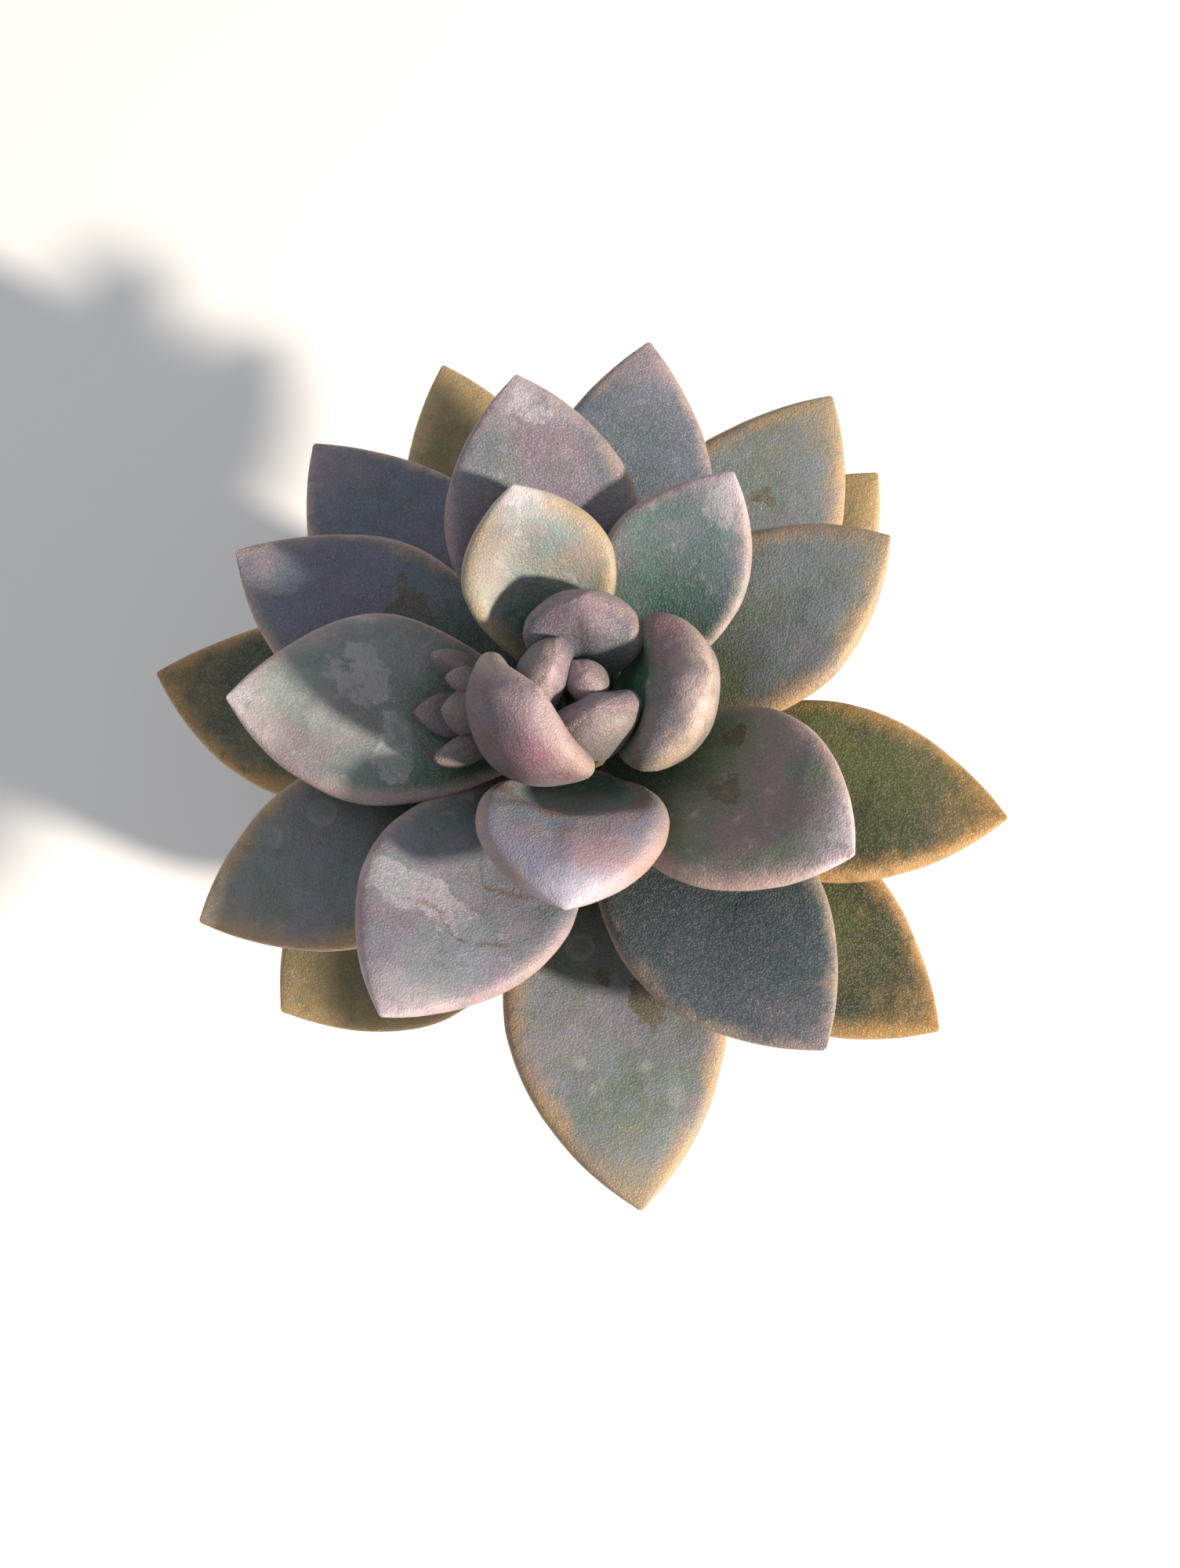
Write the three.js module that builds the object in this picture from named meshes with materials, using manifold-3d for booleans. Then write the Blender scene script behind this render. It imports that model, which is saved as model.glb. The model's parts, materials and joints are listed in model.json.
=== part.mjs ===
// A potted ghost plant: a rosette of fleshy leaves on a short stem, a young side shoot, potting soil and
// a plain clay pot. Millimetres and degrees, +Z up. The pot stands on z = 0, centred under the spread of
// the leaves.
import * as THREE from "three";
import { mergeVertices } from "three/addons/utils/BufferGeometryUtils.js";
import Module from "manifold-3d";

const wasm = await Module();
wasm.setup();

// ---- Driving dimensions ----
const fitGap = 0.3; // clearance between pieces that touch
const leafGap = 0.1; // least air between one leaf and the next

const potRimDiameter = 60;
const potHeight = 54;
const potBaseDiameter = 43;
const potWall = 3.4;
const potFloor = 4;
const rimBandHeight = 13;
const rimBandStep = 1.8; // how far the rim band stands out from the body
const drainHoleDiameter = 9;
const potEdgeRadius = 1.2; // the pot's worn edges
const potSegments = 40;
const soilBelowRim = 4;
const soilMound = 1.6; // rise of the soil towards the middle
const soilRings = 3; // steps of the mound between the wall and the middle

const stemBaseDiameter = 11;
const stemTopDiameter = 1.4;
const stemBuried = 16;
const stemSegments = 16;
const stemSteps = 8; // rings between the lowest leaf and the growing point
const stemTaper = 1.3; // above 1, the stem stays thick for longer
const growingPointDepth = 2.5; // from the innermost leaf's foot down to the end of the stem
const growingPointDome = 0.6;
const rootEndShare = 0.7; // the buried end's narrowing
const rootEndLength = 2;
const rosetteLean = 7; // the plant leans back, towards +Y
const leafAboveRim = 1.5; // air between the lowest leaf and the pot

const leafCount = 27;
const innerLeaves = 8; // the young leaves, counted from the middle
const middleLeaves = 8;
const goldenAngle = 137.5;
const firstHeading = 38; // compass heading of the innermost leaf, from +X towards +Y
const leafSpacing = 1.3; // height of stem from one leaf to the next
const leafLength = 54; // full-grown leaf
const leafWidth = 28;
const leafThickness = 8;
const leafCup = 0.16; // how far the edges stand up, as a share of the half width
const budLength = 7; // innermost leaf
const budWidth = 6.5;
const budThickness = 4.8;
const budCup = 0.4;
const growthBend = 2.27; // how early the leaves reach full size
const widthBend = 0.7; // below 1, width and thickness run ahead of length
const budRise = 88; // innermost leaf above the horizontal
const outerRise = 7;
const riseBend = 2.2; // how early the leaves open out
const widestAt = 0.55; // share of the length at the broadest point
const thickestAt = 0.55;
const budWidestAt = 0.74; // the innermost leaf is broadest near its end
const budThickestAt = 0.68;
const shoulderBend = 1.25; // how late the blade broadens
const sideBend = 1.8; // how full the sides stay on the way to the tip
const tipPoint = 0.9; // below 1 rounds the tip, 1 leaves it sharp
const keelBend = 2.2; // the same two for the thickness
const keelPoint = 0.75;
const neckWidth = 0.33; // where the leaf joins the stem, as a share of the whole width
const neckThickness = 0.48;
const budNeck = 0.5; // the innermost leaf's neck, as a share of those two
const neckPoint = 0.3; // how far the neck's end stands out towards the stem
const neckEndsAt = 0.3; // share of the length where the oval neck has become a full blade
const upperShare = 0.3; // part of the thickness above the rim line
const rimSquareness = 0.25; // how blunt the rims are
const upperFlatness = 0.15;
const keelAtNeck = 0.85; // section power of the lower face, rounder at the neck
const keelSharpening = 0.35; // and how much it sharpens towards the tip
const cupRunsTo = 1.15; // the cupping dies away a little before the tip
const lastRingAt = 0.985;
const ringCrowding = 1.25; // above 1 draws the rings together towards the tip
const leafRings = 10;
const leafSides = 12;

// How far a crowded leaf gives way to those above it, in degrees and millimetres.
const mostSink = 40;
const mostOut = 3;
const outStep = 0.5;
const turnsAside = [0, -2, 2, -4, 4];
const degreesPerMillimetre = 3; // what a move outwards counts for, beside sinking
const looseLeaves = 13; // how many of the innermost leaves move outwards that easily
const olderDegreesPerMillimetre = 40; // the older ones hold to the stem
const widerTurns = [-8, 8, -14, 14, -20, 20]; // and turn further aside where nothing else helps
const widerTurnCost = 3; // per degree

// Each leaf's own habit, from the innermost outwards, over and above the growth rules: turn from its
// golden-angle place, lift above the usual rise, curl of the midrib (upwards), length, width and thickness,
// and crown, the share of the thickness that moves to the upper face towards the tip.
const leafHabits = [
  { turn: 0, lift: 12, curl: 15, long: 0, wide: -1, thick: -0.4, crown: 0.4 },
  { turn: -14, lift: 16, curl: 40, long: -1, wide: -2.2, thick: -0.2, crown: 0.3 },
  { turn: -22, lift: 12, curl: 40, long: -3, wide: -1.6, thick: 0.2, crown: 0.3 },
  { turn: -3, lift: -12, curl: 30, long: -4, wide: 0, thick: 1.6, crown: 0.2 },
  { turn: -8, lift: 28, curl: 70, long: -1, wide: 3, thick: 1.6, crown: 0 },
  { turn: -10, lift: -3, curl: 15, long: -4.5, wide: 2, thick: 1.8, crown: 0.2 },
  { turn: -34, lift: -12, curl: 15, long: 0, wide: 1, thick: 0.8, crown: 0 },
  { turn: -14, lift: -10, curl: -20, long: -2, wide: 3.8, thick: 1.5, crown: 0.3 },
  { turn: -3, lift: -8, curl: 10, long: 0, wide: -1.5, thick: 0, crown: 0 },
  { turn: -17, lift: -19, curl: 15, long: 7, wide: 4, thick: 0, crown: 0 },
  { turn: -9, lift: 0, curl: 0, long: 3.6, wide: 3, thick: 0, crown: 0.1 },
  { turn: -9, lift: 2, curl: 10, long: 1.5, wide: 2, thick: 0, crown: 0 },
  { turn: -12, lift: -4, curl: 5, long: 3.5, wide: 2.5, thick: 0, crown: 0.1 },
  { turn: 3, lift: 0, curl: 10, long: 0.6, wide: -1, thick: 0, crown: 0 },
  { turn: -11.5, lift: -4, curl: 10, long: 3.5, wide: 0, thick: 0, crown: 0 },
  { turn: 4, lift: -4, curl: 5, long: 2.8, wide: 1, thick: 0, crown: 0 },
  { turn: 2, lift: 6, curl: 10, long: 2.5, wide: -1.5, thick: 0, crown: 0 },
  { turn: -7, lift: -2, curl: 10, long: 2, wide: -1, thick: 0, crown: 0 },
  { turn: -5, lift: -2, curl: 5, long: 2, wide: -2, thick: 0, crown: 0 },
  { turn: -1, lift: 1, curl: 10, long: 3.5, wide: 0, thick: 0, crown: 0 },
  { turn: 9, lift: -4, curl: 5, long: 5, wide: 1.5, thick: 0, crown: 0 },
  { turn: 9, lift: 8, curl: 10, long: 3.5, wide: 0, thick: 0, crown: 0 },
  { turn: -18, lift: -4, curl: 10, long: 4.5, wide: 0, thick: 0, crown: 0 },
  { turn: 1, lift: -3, curl: 10, long: 1.4, wide: -1, thick: 0, crown: 0 },
  { turn: 10, lift: 1, curl: 10, long: 8, wide: -2, thick: 0, crown: 0 },
  { turn: -22, lift: -3, curl: 10, long: -7, wide: 4, thick: 0, crown: 0 },
  { turn: 32, lift: 6, curl: 10, long: 1, wide: -2, thick: 0, crown: 0 },
];

// The side shoot grows in the axil of one leaf and lies over it.
const shootAfterLeaf = 9; // as many leaves stand above it
const shootAboveLeaf = 3; // height of its foot above that of the leaf it lies on
const shootHeading = 182;
const shootRise = 30;
const shootLength = 8; // from the main stem to its first leaflets
const shootDiameter = 2.4;
const shootSpacing = 0.5;
const shootTaper = 0.9; // its end, as a share of its foot
const shootDome = 0.4;
const shootSides = 10;
const mostShootSink = 90; // degrees that it may lie down to clear the leaves
const leafletHabits = [
  { heading: 270, rise: 60, length: 10.5, width: 4, thickness: 3 },
  { heading: 350, rise: 86, length: 10, width: 4.6, thickness: 3 },
  { heading: 90, rise: 60, length: 9, width: 3.8, thickness: 3 },
  { heading: 160, rise: 80, length: 7.5, width: 4.6, thickness: 3.4 },
  { heading: 222, rise: 76, length: 6.5, width: 3.2, thickness: 2.4 },
];

const leastOverlap = 1e-6; // cubic millimetres that count as a clash
const rad = THREE.MathUtils.degToRad;
const between = (from, to, share) => from + (to - from) * share;
const paint = (color, roughness) => new THREE.MeshStandardMaterial({ color, roughness, metalness: 0 });
const innerLeaf = paint(0xa898a2, 0.55);
const middleLeaf = paint(0x8f968f, 0.6);
const outerLeaf = paint(0x858a72, 0.6);
const bark = paint(0x8a7a5e, 0.8);
const earth = paint(0x3b2c22, 0.95);
const clay = paint(0xb0674a, 0.85);

// ---- Solids ----

// A mesh's solid, in the frame of the outermost group that holds it.
function solidOf(mesh, geometry = mesh.geometry) {
  mesh.updateWorldMatrix(true, false);
  const bare = new THREE.BufferGeometry();
  bare.setAttribute("position", geometry.getAttribute("position").clone());
  bare.setIndex(geometry.index);
  const merged = mergeVertices(bare.applyMatrix4(mesh.matrixWorld), 1e-4);
  return new wasm.Manifold(
    new wasm.Mesh({
      numProp: 3,
      vertProperties: new Float32Array(merged.getAttribute("position").array),
      triVerts: new Uint32Array(merged.index.array),
    }),
  );
}

function geometryOf(solid) {
  const { vertProperties, triVerts } = solid.getMesh();
  const geometry = new THREE.BufferGeometry();
  geometry.setAttribute("position", new THREE.BufferAttribute(vertProperties, 3));
  geometry.setIndex(new THREE.BufferAttribute(triVerts, 1));
  geometry.computeVertexNormals();
  return geometry;
}

// A turned shape about Z from a list of [radius, height], going anticlockwise round the section.
function turned(profile, segments) {
  return new THREE.LatheGeometry(
    profile.map(([radius, height]) => new THREE.Vector2(radius, height)),
    segments,
  ).rotateX(Math.PI / 2);
}

// ---- A leaf ----

// Half width along the leaf, 1 at its widest: a narrow neck, a full blade, a short blunt point.
function outline(t, neck, widest) {
  if (t < widest) return between(neck, 1, Math.sin((Math.PI / 2) * (t / widest)) ** shoulderBend);
  const u = (t - widest) / (1 - widest);
  return (1 - u ** sideBend) ** tipPoint;
}

// Thickness along the leaf, 1 at its thickest.
function fullness(t, neck, thickest) {
  if (t < thickest) return between(neck, 1, Math.sin((Math.PI / 2) * (t / thickest)));
  const u = (t - thickest) / (1 - thickest);
  return (1 - u ** keelBend) ** keelPoint;
}

// A midrib of the given length that arches upwards by curl degrees in all.
function midrib(t, length, curl) {
  const bend = rad(curl);
  if (bend === 0) return { x: length * t, z: 0, angle: 0 };
  const start = -bend / 2;
  const angle = start + bend * t;
  return {
    x: (length / bend) * (Math.sin(angle) - Math.sin(start)),
    z: (length / bend) * (Math.cos(start) - Math.cos(angle)),
    angle,
  };
}

// Rings run from neck to tip, in the leaf's own frame: X along the leaf, Z up out of its upper face.
// swell grows every section, for clearance tests.
function leafGeometry(shape, swell = 0) {
  const { length, width, thickness, curl = 0, cup = leafCup, crown = 0 } = shape;
  const { neck = 1, widest = widestAt, thickest = thickestAt } = shape;
  const points = [];
  for (let i = 0; i < leafRings; i++) {
    const t = lastRingAt * (1 - (1 - i / (leafRings - 1)) ** ringCrowding);
    const { x, z, angle } = midrib(t, length, curl);
    const half = (width / 2) * outline(t, neckWidth * neck, widest) + swell;
    const thick = thickness * fullness(t, neckThickness * neck, thickest) + 2 * swell;
    const above = thick * (upperShare + crown * t);
    const below = thick - above;
    const plump = Math.min(1, t / neckEndsAt);
    const keel = keelAtNeck + keelSharpening * t;
    for (let j = 0; j < leafSides; j++) {
      const c = Math.cos((2 * Math.PI * j) / leafSides);
      const s = Math.sin((2 * Math.PI * j) / leafSides);
      const side = Math.sign(c) * Math.abs(c) ** (1 - rimSquareness * plump);
      const rim = cup * half * side ** 2 * Math.sin(Math.PI * Math.min(1, t * cupRunsTo));
      const height = rim + (s > 0 ? above * s ** (1 - upperFlatness * plump) : -below * Math.abs(s) ** keel);
      points.push([x - height * Math.sin(angle), half * side, z + height * Math.cos(angle)]);
    }
  }
  const tip = midrib(1, length, curl);
  const neckEnd = points.length;
  points.push([-neckPoint - swell, 0, 0]);
  points.push([tip.x + swell, 0, tip.z]);
  const faces = [];
  const lastRing = (leafRings - 1) * leafSides;
  for (let j = 0; j < leafSides; j++) {
    const next = (j + 1) % leafSides;
    for (let ring = 0; ring < lastRing; ring += leafSides) {
      faces.push(ring + j, ring + next, ring + leafSides + j);
      faces.push(ring + next, ring + leafSides + next, ring + leafSides + j);
    }
    faces.push(neckEnd, next, j);
    faces.push(neckEnd + 1, lastRing + j, lastRing + next);
  }
  const geometry = new THREE.BufferGeometry();
  geometry.setAttribute("position", new THREE.Float32BufferAttribute(points.flat(), 3));
  geometry.setIndex(faces);
  geometry.computeVertexNormals();
  return geometry;
}

// Stands a leaf on a stalk of the given radius, its neck just clear of the bark.
function place(leaf, { heading, height, rise, stalkRadius }) {
  const { thickness, curl = 0, neck = 1 } = leaf.userData.shape;
  const startAngle = rad(rise - curl / 2);
  const neckDepth = thickness * neckThickness * neck * (startAngle > 0 ? upperShare : 1 - upperShare);
  const reach = stalkRadius + fitGap + neckPoint + neckDepth * Math.abs(Math.sin(startAngle));
  leaf.position.set(reach * Math.cos(rad(heading)), reach * Math.sin(rad(heading)), height);
  leaf.rotation.set(0, -rad(rise), rad(heading), "ZYX");
}

// The ways that a crowded leaf can give, smallest first: it sinks, moves out from the stem and turns aside.
function yieldsWhere(outwardCost, turns) {
  const ways = [];
  for (let sink = 0; sink <= mostSink; sink++) {
    for (let out = 0; out <= mostOut; out += outStep) {
      for (const turn of turns) {
        const turnCost = Math.abs(turn) * (turnsAside.includes(turn) ? 1 : widerTurnCost);
        ways.push({ sink, out, turn, size: sink + outwardCost * out + turnCost });
      }
    }
  }
  return ways.sort((one, other) => one.size - other.size);
}
const yields = yieldsWhere(degreesPerMillimetre, turnsAside);
const yieldsOfOlder = yieldsWhere(olderDegreesPerMillimetre, [...turnsAside, ...widerTurns]);

// Seats a leaf where it is clear of everything that stands already, as near its own seat as it can be.
function settle(leaf, seat, standing, ways = yields) {
  const swollen = leafGeometry(leaf.userData.shape, leafGap);
  const { heading, rise, stalkRadius } = seat;
  for (const { sink, out, turn } of ways) {
    place(leaf, { ...seat, heading: heading + turn, rise: rise - sink, stalkRadius: stalkRadius + out });
    if (!meetsAny(solidOf(leaf, swollen), standing)) break;
  }
  standing.push(solidOf(leaf));
}

const meetsAny = (solid, others) => others.some((other) => solid.intersect(other).volume() > leastOverlap);

// ---- Main stem ----

const stemTop = leafSpacing * (leafCount - 1); // height of the innermost leaf
const stemEnd = stemTop - growingPointDepth;

function stemRadius(height) {
  const share = Math.min(1, Math.max(0, height / stemTop));
  return between(stemBaseDiameter, stemTopDiameter, share ** stemTaper) / 2;
}

// Tapers among the leaves and ends in a rounded growing point. swell is for clearance.
function stemGeometry(bottom, swell = 0) {
  const profile = [[0, bottom - swell]];
  profile.push([stemRadius(bottom) * rootEndShare + swell, bottom - swell]);
  profile.push([stemRadius(bottom) + swell, bottom + rootEndLength]);
  for (let i = 0; i <= stemSteps; i++) {
    const height = (stemEnd * i) / stemSteps;
    profile.push([stemRadius(height) + swell, height]);
  }
  profile.push([0, stemEnd + growingPointDome + swell]);
  return turned(profile, stemSegments);
}

// ---- The plant, upright in its own frame: z = 0 at the lowest leaf ----

const plant = new THREE.Group();
const stem = new THREE.Mesh(stemGeometry(-stemBuried), bark);
stem.name = "stem";
plant.add(stem);
const standing = [solidOf(stem)];

function addLeaf(n) {
  const habit = leafHabits[n];
  const age = n / (leafCount - 1); // 0 for the innermost leaf, 1 for the outermost
  const grown = 1 - (1 - age) ** growthBend;
  const opened = Math.min(1, n / innerLeaves); // 0 for the innermost leaf, 1 where the bud ends
  const shape = {
    length: between(budLength, leafLength, grown) + habit.long,
    width: between(budWidth, leafWidth, grown ** widthBend) + habit.wide,
    thickness: between(budThickness, leafThickness, grown ** widthBend) + habit.thick,
    cup: between(budCup, leafCup, grown),
    curl: habit.curl,
    crown: habit.crown,
    neck: between(budNeck, 1, opened),
    widest: between(budWidestAt, widestAt, opened),
    thickest: between(budThickestAt, thickestAt, opened),
  };
  const skin = n < innerLeaves ? innerLeaf : n < innerLeaves + middleLeaves ? middleLeaf : outerLeaf;
  const leaf = new THREE.Mesh(leafGeometry(shape), skin);
  leaf.name = `leaf_${String(n + 1).padStart(2, "0")}`;
  leaf.userData.shape = shape;
  plant.add(leaf);
  const height = leafSpacing * (leafCount - 1 - n);
  const seat = {
    heading: firstHeading + goldenAngle * n + habit.turn,
    height,
    rise: outerRise + (budRise - outerRise) * (1 - age) ** riseBend + habit.lift,
    stalkRadius: stemRadius(height - shape.thickness * neckThickness * shape.neck),
  };
  settle(leaf, seat, standing, n < looseLeaves ? yields : yieldsOfOlder);
}

function addSideShoot() {
  const shoot = new THREE.Group();
  const height = leafSpacing * (leafCount - 1 - shootAfterLeaf) + shootAboveLeaf;
  const stalkRadius = shootDiameter / 2;
  const tipHeight = shootLength + shootSpacing * leafletHabits.length;
  const stalkProfile = (swell) => [
    [0, -swell],
    [stalkRadius + swell, -swell],
    [stalkRadius * shootTaper + swell, tipHeight / 2],
    [stalkRadius * shootTaper + swell, tipHeight],
    [0, tipHeight + shootDome + swell],
  ];
  const stalk = new THREE.Mesh(turned(stalkProfile(0), shootSides), bark);
  stalk.name = "side_stalk";
  shoot.add(stalk);
  plant.add(shoot);
  const set = (rise) => {
    const reach = stemRadius(height) + fitGap + stalkRadius * Math.sin(rad(rise));
    shoot.position.set(reach * Math.cos(rad(shootHeading)), reach * Math.sin(rad(shootHeading)), height);
    shoot.rotation.set(0, rad(90 - rise), rad(shootHeading), "ZYX");
  };
  set(shootRise);
  const own = [solidOf(stalk)];
  const pieces = [[stalk, turned(stalkProfile(fitGap), shootSides)]];
  leafletHabits.forEach((shape, i) => {
    const leaflet = new THREE.Mesh(leafGeometry({ ...shape, cup: 0 }), innerLeaf);
    leaflet.name = `side_leaf_${i + 1}`;
    leaflet.userData.shape = { ...shape, cup: 0 };
    shoot.add(leaflet);
    const seat = { ...shape, height: shootLength + shootSpacing * i, stalkRadius };
    settle(leaflet, seat, own);
    pieces.push([leaflet, leafGeometry(leaflet.userData.shape, fitGap)]);
  });
  const clashes = () => pieces.some(([mesh, swollen]) => meetsAny(solidOf(mesh, swollen), standing));
  for (let sunk = 1; sunk < mostShootSink && clashes(); sunk++) {
    set(shootRise - sunk);
  }
  standing.push(...pieces.map(([mesh]) => solidOf(mesh)));
}

for (let n = 0; n < leafCount; n++) {
  if (n === shootAfterLeaf) addSideShoot();
  addLeaf(n);
}

// ---- Pot ----

const bandBottom = potHeight - rimBandHeight;
const rimRadius = potRimDiameter / 2;
const bodyTopRadius = rimRadius - rimBandStep;
const taper = (bodyTopRadius - potBaseDiameter / 2) / bandBottom;
const innerRadius = (height) => potBaseDiameter / 2 + taper * height - potWall;

// A quarter round of the worn-edge radius about a centre, from one angle to the next.
function worn(radius, height, from, to, edge = potEdgeRadius) {
  return [0, 0.5, 1].map((share) => {
    const angle = rad(between(from, to, share));
    return [radius + edge * Math.cos(angle), height + edge * Math.sin(angle)];
  });
}

function potGeometry() {
  const drain = drainHoleDiameter / 2;
  const edge = potEdgeRadius;
  const base = potBaseDiameter / 2;
  const profile = [
    [drain, 0],
    ...worn(base - edge, edge, -90, 0),
    [bodyTopRadius, bandBottom],
    ...worn(rimRadius - edge, bandBottom + edge, -90, 0),
    ...worn(rimRadius - edge, potHeight - edge, 0, 90),
    ...worn(innerRadius(potHeight) + edge, potHeight - edge, 90, 180),
    [innerRadius(potFloor), potFloor],
    [drain, potFloor],
    [drain, 0],
  ];
  return turned(profile, potSegments);
}

const pot = new THREE.Mesh(potGeometry(), clay);
pot.name = "pot";

// ---- Standing the plant in the pot ----

const root = new THREE.Group();
root.add(pot, plant);
plant.rotation.x = -rad(rosetteLean);
const spread = new THREE.Box3().setFromObject(plant, true);
plant.position.x = -(spread.min.x + spread.max.x) / 2;
plant.position.y = -(spread.min.y + spread.max.y) / 2;

// The rosette stands just high enough for its lowest leaf to clear the pot.
function lowestLeafOverPot() {
  const reach = rimRadius + leafAboveRim;
  const far = leafLength * leafCount; // beyond the plant either way
  const column = new THREE.Mesh(turned([[0, -far], [reach, -far], [reach, far], [0, far]], potSegments));
  const overPot = solidOf(column);
  const leaves = plant.children.filter((mesh) => mesh.name.startsWith("leaf"));
  return Math.min(...leaves.map((leaf) => solidOf(leaf).intersect(overPot).boundingBox().min[2]));
}
plant.position.z = potHeight + leafAboveRim - lowestLeafOverPot();

const soilTop = potHeight - soilBelowRim;
const buriedEnd = -(plant.position.z - soilTop + stemBuried) / Math.cos(rad(rosetteLean));
stem.geometry = stemGeometry(buriedEnd);

// ---- Soil, with a socket for the stem ----

function soilGeometry() {
  const bottom = potFloor + fitGap;
  const edge = innerRadius(soilTop) - fitGap;
  const profile = [
    [0, bottom],
    [innerRadius(bottom) - fitGap, bottom],
    [edge, soilTop],
  ];
  for (let ring = soilRings; ring > 0; ring--) {
    const share = ring / (soilRings + 1);
    profile.push([edge * share, soilTop + soilMound * (1 - share ** 2)]);
  }
  profile.push([0, soilTop + soilMound]);
  const mound = new THREE.Mesh(turned(profile, potSegments));
  return geometryOf(solidOf(mound).subtract(solidOf(stem, stemGeometry(buriedEnd, fitGap))));
}

const soil = new THREE.Mesh(soilGeometry(), earth);
soil.name = "soil";
root.add(soil);

export default root;
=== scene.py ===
import json
import math

import bmesh
import bpy
import numpy as np
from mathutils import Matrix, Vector, noise


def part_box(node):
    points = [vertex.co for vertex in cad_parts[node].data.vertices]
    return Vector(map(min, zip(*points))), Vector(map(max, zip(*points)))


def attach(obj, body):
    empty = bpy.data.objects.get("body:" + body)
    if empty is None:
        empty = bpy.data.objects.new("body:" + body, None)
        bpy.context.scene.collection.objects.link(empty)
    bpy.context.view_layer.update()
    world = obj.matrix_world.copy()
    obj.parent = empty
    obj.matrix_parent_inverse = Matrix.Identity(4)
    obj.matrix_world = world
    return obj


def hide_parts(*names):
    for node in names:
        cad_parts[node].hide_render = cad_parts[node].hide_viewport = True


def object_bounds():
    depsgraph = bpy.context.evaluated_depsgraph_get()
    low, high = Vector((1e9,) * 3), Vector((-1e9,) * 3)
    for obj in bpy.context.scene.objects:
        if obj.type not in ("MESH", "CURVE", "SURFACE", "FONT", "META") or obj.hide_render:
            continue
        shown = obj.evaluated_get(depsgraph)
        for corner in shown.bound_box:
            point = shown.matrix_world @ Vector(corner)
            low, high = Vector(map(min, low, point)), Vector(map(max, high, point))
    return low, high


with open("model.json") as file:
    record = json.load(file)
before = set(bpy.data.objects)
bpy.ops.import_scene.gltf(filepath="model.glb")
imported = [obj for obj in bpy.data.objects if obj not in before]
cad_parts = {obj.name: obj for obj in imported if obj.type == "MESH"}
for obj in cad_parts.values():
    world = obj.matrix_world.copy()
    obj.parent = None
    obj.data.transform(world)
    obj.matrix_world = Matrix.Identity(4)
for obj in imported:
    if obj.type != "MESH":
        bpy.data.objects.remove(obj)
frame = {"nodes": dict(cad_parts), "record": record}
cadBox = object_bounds()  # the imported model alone, before any piece is added
mm = 0.001
slotOf = {row["node"]: row["material_slot"] for row in frame["record"]["subparts"]}
lowest, highest = (Vector(corner) for corner in cadBox)
middle = (lowest + highest) / 2

cameraLook = {
    "azimuth": 0,  # degrees, 0 looks along +Y
    "elevation": 79,
    "distance": 0.29,
    "lens": 50,
    "film": 36,  # millimetres along the picture's long side
    "aim": (0.0039, -0.0067, -0.0283),  # from the middle of the object's top face
}


def addCamera():
    look = cameraLook
    data = bpy.data.cameras.new("camera")
    data.lens = look["lens"]
    data.sensor_fit = "AUTO"
    data.sensor_width = look["film"]
    data.clip_start = 0.01
    camera = bpy.data.objects.new("camera", data)
    bpy.context.scene.collection.objects.link(camera)
    aim = Vector((middle.x, middle.y, highest.z)) + Vector(look["aim"])
    tilt, turn = math.radians(look["elevation"]), math.radians(look["azimuth"])
    back = Vector((math.sin(turn) * math.cos(tilt), -math.cos(turn) * math.cos(tilt), math.sin(tilt)))
    camera.location = aim + back * look["distance"]
    camera.rotation_euler = (math.pi / 2 - tilt, 0, turn)
    bpy.context.scene.camera = camera


addCamera()
print("camera set")


class Signal:  # one output socket, used like a number
    def __init__(self, sheet, socket):
        self.sheet, self.socket = sheet, socket

    def do(self, operation, *terms):
        return self.sheet.node("ShaderNodeMath", {"operation": operation}, list(terms))

    def __add__(self, other):
        return self.do("ADD", self, other)

    def __radd__(self, other):
        return self.do("ADD", other, self)

    def __sub__(self, other):
        return self.do("SUBTRACT", self, other)

    def __rsub__(self, other):
        return self.do("SUBTRACT", other, self)

    def __mul__(self, other):
        return self.do("MULTIPLY", self, other)

    def __rmul__(self, other):
        return self.do("MULTIPLY", other, self)

    def __truediv__(self, other):
        return self.do("DIVIDE", self, other)

    def __pow__(self, other):
        return self.do("POWER", self, other)

    def __abs__(self):
        return self.do("ABSOLUTE", self)

    def atLeast(self, other):
        return self.do("MAXIMUM", self, other)

    def step(self, start, end):  # a smooth rise from 0 to 1, or a fall where end is below start
        settings = {"interpolation_type": "SMOOTHSTEP"}
        if start < end:
            return self.sheet.node("ShaderNodeMapRange", settings, [self, start, end, 0.0, 1.0])
        return self.sheet.node("ShaderNodeMapRange", settings, [self, end, start, 1.0, 0.0])


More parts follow.
